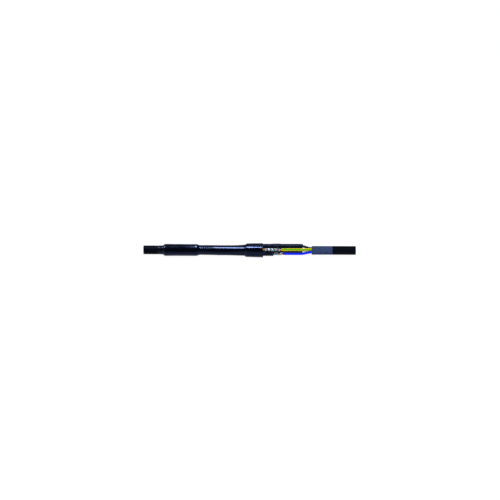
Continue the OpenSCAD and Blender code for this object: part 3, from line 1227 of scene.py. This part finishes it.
@dataclass(frozen=True)
class OuterTube(SubAssembly):
    """The heavy outer tube: refined from the CAD part's, with what the flame left on it.

    Attributes:
        regain: What smoothing takes off the corners, put back on.
        lump_height: Of the broad unevenness.
        lump_size: Length and width of its lumps.
        fine_share: Height of the fine unevenness against the broad one.
        fine_size: Length and width of its lumps.
        fold_x: Middle of the fine folds where the tube steps down off the sheath.
        fold_reach: How far they run either way.
        fold_height: Of one fold.
        fold_pitch: From one fold to the next.
        fold_wander: How far a fold runs to and fro on its way round.
        fold_waves: Length and width of the waves in which it does.
        waist_x: From where to where the waist begins to settle down to the front.
        shoulder_x: Where the tube steps up over the connectors.
        cad_shoulder_x: The same in the CAD part, where the step is a longer ramp.
        shoulder_rise: Of that step.
        waist_settle: How far the tube has settled at its waist.
        bulge_settle: How much further over the connectors.
        settle_angle: Where it has settled most, in degrees from the front over the top.
        fill_height: How much of the hollow between the two top cores the tube bridges.
        fill_angles: Where that is, in degrees from the front over the top, at the
            shoulder and at the cut.
        fill_width: Its half width, in degrees.
        shoulder_wander: How far the shoulder runs to and fro on its way round.
        shoulder_waves: How often it does.
        sharp: Edges sharper than this, in degrees, stay crisp.
        crease: How crisp smoothing leaves them, from 0 to 1.
        longest: The most between two rings once it is refined.
        cut_depth: How far from the tube's end the sawn face reaches.
        cut_facing: How squarely a face looks along the joint to count as sawn.
    """

    regain: float = 0.3 * MM
    lump_height: float = 0.45 * MM
    lump_size: tuple[float, float] = (38 * MM, 16 * MM)
    fine_share: float = 0.06
    fine_size: tuple[float, float] = (15 * MM, 7 * MM)
    fold_x: float = -141 * MM
    fold_reach: float = 10 * MM
    fold_height: float = 0.3 * MM
    fold_pitch: float = 6 * MM
    fold_wander: float = 1.5 * MM
    fold_waves: tuple[float, float] = (19 * MM, 8 * MM)
    waist_x: tuple[float, float] = (-140 * MM, -90 * MM)
    shoulder_x: tuple[float, float] = (-18 * MM, -8 * MM)
    cad_shoulder_x: tuple[float, float] = (-22 * MM, -2 * MM)
    shoulder_rise: float = 4 * MM
    waist_settle: float = 1.5 * MM
    bulge_settle: float = 0.5 * MM
    settle_angle: float = -45.0
    fill_height: float = 0.45 * MM
    fill_angles: tuple[float, float] = (85.0, 70.0)
    fill_width: float = 17.0
    shoulder_wander: float = 3 * MM
    shoulder_waves: float = 1.7
    sharp: float = 50.0
    crease: float = 0.9
    longest: float = 3 * MM
    cut_depth: float = 1 * MM
    cut_facing: float = 0.8

    def build(self) -> list[bpy.types.Object]:
        """Replaces the CAD part's outer tube."""
        bm = self._smoothed()
        long_edges = [e for e in bm.edges if abs(e.verts[0].co.x - e.verts[1].co.x) > self.longest]
        bmesh.ops.subdivide_edges(bm, edges=long_edges, cuts=1, use_grid_fill=True)
        bm.normal_update()
        axis = self.places.axis_height
        outside, cut, lining = range(3)
        for face in bm.faces:
            middle = face.calc_center_median()
            out = Vector((0, middle.y, middle.z - axis)).normalized()
            at_cut = middle.x > self.places.tube_cut - self.cut_depth
            if at_cut and face.normal.x > self.cut_facing:
                face.material_index = cut
            elif face.normal.dot(out) < 0:
                face.material_index = lining
            else:
                face.material_index = outside
        skin = {v for f in bm.faces if f.material_index == outside for v in f.verts}
        push(bm, skin, self._unevenness)
        for vert in bm.verts:
            vert.co.z = max(vert.co.z, 0.0)
        finishes = [
            ShrunkPolyolefin("black heavy-wall polyolefin tube, shrunk"),
            SawnPolyolefin("black heavy-wall polyolefin tube, sawn"),
            HotMelt("hot-melt lining of the outer tube"),
        ]
        return [replace_node("outer_tube", "shrunk", bm, finishes, self.sharp)]

    def _smoothed(self) -> BMesh:
        """The CAD part's tube, subdivided once with its rims kept crisp."""
        bm = copy_of("outer_tube")
        layers = bm.edges.layers.float
        crease = layers.get("crease_edge") or layers.new("crease_edge")
        for edge in bm.edges:
            if edge.is_manifold and edge.calc_face_angle() > math.radians(self.sharp):
                edge[crease] = self.crease
        rough = bpy.data.meshes.new("outer_tube_rough")
        bm.to_mesh(rough)
        bm.free()
        holder = bpy.data.objects.new("outer_tube_rough", rough)
        bpy.context.collection.objects.link(holder)
        smoother = holder.modifiers.new("smooth", "SUBSURF")
        smoother.levels = smoother.render_levels = 1
        graph = bpy.context.evaluated_depsgraph_get()
        refined = bpy.data.meshes.new_from_object(holder.evaluated_get(graph))
        fine = bmesh.new()
        fine.from_mesh(refined)
        bpy.data.objects.remove(holder)
        bpy.data.meshes.remove(rough)
        bpy.data.meshes.remove(refined)
        return fine

    def _unevenness(self, place: Vector) -> float:
        """How far the flame left the skin in or out at a place."""
        height = lumps(place, *self.lump_size) + self.fine_share * lumps(place, *self.fine_size)
        reach = math.exp(-(((place.x - self.fold_x) / self.fold_reach) ** 2))
        bent = place.x + self.fold_wander * lumps(place, *self.fold_waves)
        folds = self.fold_height * reach * math.sin(2 * math.pi * bent / self.fold_pitch)
        return self.regain + self.lump_height * height + folds + self._settled(place)

    def _settled(self, place: Vector) -> float:
        """How far the skin lies out from the CAD part's at its waist and over the connectors."""
        out = Vector((-place.y, place.z - self.places.axis_height, 0)).normalized()
        angle = math.degrees(math.atan2(out.y, out.x))
        wander = self.shoulder_wander * noise.noise(out * self.shoulder_waves)
        on_bulge = eased(*self.shoulder_x, place.x + wander)
        step = self.shoulder_rise * (on_bulge - eased(*self.cad_shoulder_x, place.x))
        # 1 along the front of the underside, and 0 over the top
        down = max(0.0, math.cos(math.radians(angle - self.settle_angle)))
        settle = self.waist_settle * eased(*self.waist_x, place.x) + self.bulge_settle * on_bulge
        first, last = self.fill_angles
        middle = first + (last - first) * eased(self.shoulder_x[0], self.places.tube_cut, place.x)
        hollow = on_bulge * math.exp(-(((angle - middle) / self.fill_width) ** 2))
        return step + settle * down + self.fill_height * hollow


@dataclass(frozen=True)
class AdhesiveBead(SubAssembly):
    """The adhesive lining and the bead squeezed out in front of the outer tube.

    Attributes:
        bore: On the roughened sheath.
        lining_radius: Under the outer tube.
        bead_length: In front of the outer tube.
        bead_height: Of the bead.
        front_slope: Over what length the bead rises.
        tube_slope: Over what length it meets the outer tube's edge.
        rings: In which the bead is drawn.
        sides: Of each ring.
        front_wander: How far the bead's front runs to and fro.
        front_waves: Radius of the circle on which the front's noise is read, and its height.
        front_reach: How far from the outer tube's edge that ends.
        lump_height: How uneven the bead is.
        lump_size: Of its lumps.
        even_ends: How far it stays even at its front and at the outer tube.
        even_foot: How far above the sheath it stays even.
    """

    bore: float = 14.32 * MM
    lining_radius: float = 15.5 * MM
    bead_length: float = 17 * MM
    bead_height: float = 0.55 * MM
    front_slope: float = 5 * MM
    tube_slope: float = 3 * MM
    rings: int = 18
    sides: int = 96
    front_wander: float = 1.4 * MM
    front_waves: tuple[float, float] = (3.0, 0.7)
    front_reach: float = 4 * MM
    lump_height: float = 0.22 * MM
    lump_size: float = 5 * MM
    even_ends: tuple[float, float] = (1 * MM, 0.5 * MM)
    even_foot: float = 0.05 * MM

    def build(self) -> list[bpy.types.Object]:
        """Replaces the CAD part's adhesive."""
        start = self.places.tube_start
        front = start - self.bead_length
        bm = bmesh.new()
        verts = [bm.verts.new((x, 0, radius)) for x, radius in self._profile(front, start)]
        edges = [bm.edges.new(pair) for pair in zip(verts, verts[1:] + verts[:1])]
        bmesh.ops.spin(
            bm,
            geom=edges,
            cent=(0, 0, 0),
            axis=(1, 0, 0),
            angle=2 * math.pi,
            steps=self.sides,
            use_merge=True,
        )
        bmesh.ops.remove_doubles(bm, verts=bm.verts, dist=MERGE_WITHIN)
        bmesh.ops.recalc_face_normals(bm, faces=bm.faces)
        wide, height = self.front_waves
        for vert in bm.verts:
            angle = math.atan2(vert.co.z, vert.co.y)
            share = 1 - eased(front, start - self.front_reach, vert.co.x)
            around = Vector((wide * math.cos(angle), wide * math.sin(angle), height))
            vert.co.x += share * self.front_wander * noise.noise(around)
        after, before = self.even_ends
        free = [v for v in bm.verts if front + after < v.co.x < start - before]
        foot = self.bore + self.even_foot
        push(bm, [v for v in free if v.co.yz.length > foot], self._unevenness)
        bmesh.ops.translate(bm, vec=(0, 0, self.places.axis_height), verts=bm.verts)
        finish = HotMelt("hot-melt adhesive, squeezed out")
        return [replace_node("sealant", "bead", bm, [finish])]

    def _profile(self, front: float, start: float) -> list[tuple[float, float]]:
        """The adhesive's section, from the bead's front round to its bore.

        Args:
            front: The bead's front, in x.
            start: The outer tube's edge.

        Returns:
            Its corners as x and radius.
        """
        section = [(front, self.bore)]
        step_up = self.lining_radius - self.bore - self.bead_height
        for i in range(1, self.rings + 1):
            x = front + (start - front) * i / self.rings
            rise = self.bead_height * eased(front, front + self.front_slope, x)
            rise += step_up * eased(start - self.tube_slope, start, x)
            section.append((x, self.bore + rise))
        end = self.places.left_sheath_end
        return [*section, (end, self.lining_radius), (end, self.bore)]

    def _unevenness(self, place: Vector) -> float:
        """How far the bead stands up or sinks at a place."""
        return self.lump_height * lumps(place, self.lump_size, self.lump_size)


@dataclass(frozen=True)
class CarriedOver(SubAssembly):
    """The CAD nodes that keep their meshes.

    Attributes:
        abraded_length: Of the roughened stretch on the right cable.
        abraded_inside: How far that begins before the sheath's edge, so that it's all rubbed.
        bead_length: How far the left cable's roughened stretch runs in front of the tube.
    """

    abraded_length: float = 68 * MM
    abraded_inside: float = 10 * MM
    bead_length: float = 15.7 * MM

    def build(self) -> list[bpy.types.Object]:
        """Gives each its finish."""
        left, right = self.places.tube_start, self.places.right_sheath_start
        finishes: dict[str, Finish] = {
            "left_sheath": CableSheath(
                "black PVC sheath, left cable",
                left - self.bead_length,
                self.places.left_sheath_end,
            ),
            "right_sheath": CableSheath(
                "black PVC sheath, right cable",
                right - self.abraded_inside,
                right + self.abraded_length,
            ),
        }
        for side in ("left", "right"):
            finishes[f"{side}_filler"] = ChalkFiller("chalk-filled rubber filler, extruded")
            for core in Core:
                finishes[f"{side}_conductor_{core.label}"] = DrawnCopper("copper wire, drawn")
        for core in Core:
            tinned = TinnedCopper("tinned copper connector, crimped")
            finishes[f"connector_{core.label}"] = tinned
        return [dress(node, finish) for node, finish in finishes.items()]


@dataclass(frozen=True)
class SoftBox:
    """A soft box that hangs over the joint and faces it.

    Attributes:
        name: Of the lamp.
        size: Along and across the joint.
        offset: How far it hangs to the right.
        angle: Where it hangs, in degrees.
        power: In watts.
        only_mirrored: Whether it gives highlights alone, and no light.
        distance: From the joint.
    """

    name: str
    size: tuple[float, float]
    offset: float
    angle: float
    power: float
    only_mirrored: bool = False
    distance: float = 1.0


@dataclass(frozen=True)
class Studio:
    """White paper under the joint, soft boxes over it, and a black cloth round the room.

    Angles run from the horizon in front of the joint, over its top, to the back. Only
    shiny surfaces see the cloth; the light of the room comes through it.

    Attributes:
        room_light: The room's strength as light.
        boxes: The soft boxes.
        card_x: Where a black card stands that keeps the first box off the opened half.
        card_foot: How far the card's lower edge is above the paper.
        card_size: Of the card, across the joint and upwards.
        paper_size: Of the paper's sides.
        cloth_radius: Of the arch that the cloth hangs in.
        cloth_folds: In how many flat strips it hangs.
        cloth_angles: Where the cloth begins and ends, in degrees.
    """

    room_light: float = 0.9
    boxes: tuple[SoftBox, ...] = (
        SoftBox("box_over_closed_half", (0.195, 0.44), -0.0455, 112.0, 26.0, only_mirrored=True),
        SoftBox("box_off_left_end", (0.7, 0.44), -0.95, 112.0, 38.0, only_mirrored=True),
        SoftBox("box_over_opened_half", (0.2, 0.3), 0.15, 88.0, 5.0),
    )
    card_x: float = 43.5 * MM
    card_foot: float = 60 * MM
    card_size: tuple[float, float] = (1.0, 1.0)
    paper_size: float = 40.0
    cloth_radius: float = 6.0
    cloth_folds: int = 24
    cloth_angles: tuple[float, float] = (8.0, 178.0)

    def build(self) -> None:
        """Puts up the paper, the cloth, the soft boxes, the card and the room."""
        sheet = bmesh.new()
        bmesh.ops.create_grid(sheet, x_segments=1, y_segments=1, size=self.paper_size / 2)
        self._put_up("paper", sheet, StudioPaper("white seamless paper"))
        self._hang_cloth()
        for box in self.boxes:
            self._hang(box)
        self._hang_card()
        self._light_room()

    def _put_up(self, name: str, bm: BMesh, finish: Finish) -> bpy.types.Object:
        """Makes a piece of the studio from a bmesh, which it frees."""
        mesh = bpy.data.meshes.new(name)
        bm.to_mesh(mesh)
        bm.free()
        mesh.materials.append(finish.material())
        made = bpy.data.objects.new(name, mesh)
        bpy.context.collection.objects.link(made)
        return made

    def _direction(self, degrees: float) -> Vector:
        """The direction at an angle from the front horizon over the top."""
        angle = math.radians(degrees)
        return Vector((0, -math.cos(angle), math.sin(angle)))

    def _hang_cloth(self) -> None:
        """Hangs the cloth in an arch with closed ends, for shiny surfaces only."""
        start, end = self.cloth_angles
        bm = bmesh.new()
        hem = [
            bm.verts.new(self._direction(start) * self.cloth_radius + Vector((side, 0, 0)))
            for side in (-self.cloth_radius, self.cloth_radius)
        ]
        bmesh.ops.spin(
            bm,
            geom=[bm.edges.new(hem)],
            cent=(0, 0, 0),
            axis=(1, 0, 0),
            angle=-math.radians(end - start),
            steps=self.cloth_folds,
        )
        for side in (-1, 1):
            rim = [vert for vert in bm.verts if vert.co.x * side > 0]
            bmesh.ops.contextual_create(bm, geom=rim)
        cloth = self._put_up("cloth", bm, BlackCloth("black studio cloth"))
        cloth.visible_camera = cloth.visible_diffuse = False
        cloth.visible_shadow = cloth.visible_transmission = False

    def _hang(self, box: SoftBox) -> None:
        """Hangs a soft box."""
        lamp = bpy.data.lights.new(box.name, "AREA")
        lamp.shape = "RECTANGLE"
        lamp.size, lamp.size_y = box.size
        lamp.energy = box.power
        hung = bpy.data.objects.new(box.name, lamp)
        toward = self._direction(box.angle)
        hung.location = toward * box.distance + Vector((box.offset, 0, 0))
        hung.rotation_euler = (-toward).to_track_quat("-Z", "Y").to_euler()
        hung.visible_diffuse = not box.only_mirrored
        bpy.context.collection.objects.link(hung)

    def _hang_card(self) -> None:
        """Hangs the black card square to the joint, between the two boxes."""
        bm = bmesh.new()
        bmesh.ops.create_grid(bm, x_segments=1, y_segments=1, size=0.5)
        deep, high = self.card_size
        bmesh.ops.scale(bm, vec=(deep, high, 1), verts=bm.verts)
        bmesh.ops.rotate(bm, matrix=Matrix.Rotation(math.pi / 2, 3, "X"), verts=bm.verts)
        bmesh.ops.rotate(bm, matrix=Matrix.Rotation(math.pi / 2, 3, "Z"), verts=bm.verts)
        middle = (self.card_x, deep / 4, self.card_foot + high / 2)
        bmesh.ops.translate(bm, vec=middle, verts=bm.verts)
        card = self._put_up("card", bm, BlackCloth("black card"))
        card.visible_camera = card.visible_diffuse = card.visible_transmission = False

    def _light_room(self) -> None:
        """Makes the room white to what sees it, and even as light."""
        world = bpy.data.worlds.new("room")
        bpy.context.scene.world = world
        world.use_nodes = True
        tree = world.node_tree
        tree.nodes.clear()
        lit, seen = (
            add_node(tree, "ShaderNodeBackground", {"Color": WHITE, "Strength": strength})
            for strength in (self.room_light, 1.0)
        )
        ends = {0: seen_or_mirrored(tree), 1: lit, 2: seen}
        room = add_node(tree, "ShaderNodeMixShader", ends)
        add_node(tree, "ShaderNodeOutputWorld", {"Surface": room})


@dataclass(frozen=True)
class PhotoCamera:
    """The photograph's view: square to the cable, from the front and above.

    Attributes:
        elevation: Above the horizon, in degrees.
        frame_width: What the picture's width spans at the joint.
        lens: Focal length in millimetres.
        film_width: Width of the film behind it, in millimetres.
        sees_to: How far the camera sees.
        aim_offset: From the joint's axis to the picture's middle, to the right and up.
        roll: Of the camera, in degrees, clockwise.
    """

    elevation: float = 45.0
    frame_width: float = 1.651
    lens: float = 100.0
    film_width: float = 36.0
    sees_to: float = 100.0
    aim_offset: tuple[float, float] = (1.3 * MM, 0.5 * MM)
    roll: float = 0.17

    def build(self, places: JointPlaces) -> None:
        """Sets up the camera.

        Args:
            places: The joint's places.
        """
        camera = bpy.data.cameras.new("camera")
        camera.lens = self.lens
        camera.sensor_width = self.film_width
        camera.dof.use_dof = False
        angle = math.radians(self.elevation)
        back = Vector((0, -math.cos(angle), math.sin(angle)))
        up = Vector((0, math.sin(angle), math.cos(angle)))
        right, above = self.aim_offset
        aim = Vector((right, 0, places.axis_height)) + up * above
        distance = self.frame_width * self.lens / self.film_width
        camera.clip_end = self.sees_to
        held = bpy.data.objects.new("camera", camera)
        held.location = aim + back * distance
        level = (-back).to_track_quat("-Z", "Y").to_matrix()
        turn = level @ Matrix.Rotation(math.radians(self.roll), 3, "Z")
        held.rotation_euler = turn.to_euler()
        bpy.context.collection.objects.link(held)
        bpy.context.scene.camera = held


def main() -> None:
    """Builds the dressed joint and its studio."""
    logging.basicConfig(level=logging.INFO, format="%(message)s")
    bpy.context.scene.view_settings.view_transform = "Standard"
    places = JointPlaces.from_frame()
    PhotoCamera().build(places)
    Studio().build()
    for part in (CarriedOver, AdhesiveBead, OuterTube, Cores, CoreTubes):
        for piece in part(places).build():
            finish = piece.data.materials[0].name
            LOG.info("%s: %d faces, %s", piece.name, len(piece.data.polygons), finish)


if __name__ == "__main__":
    main()
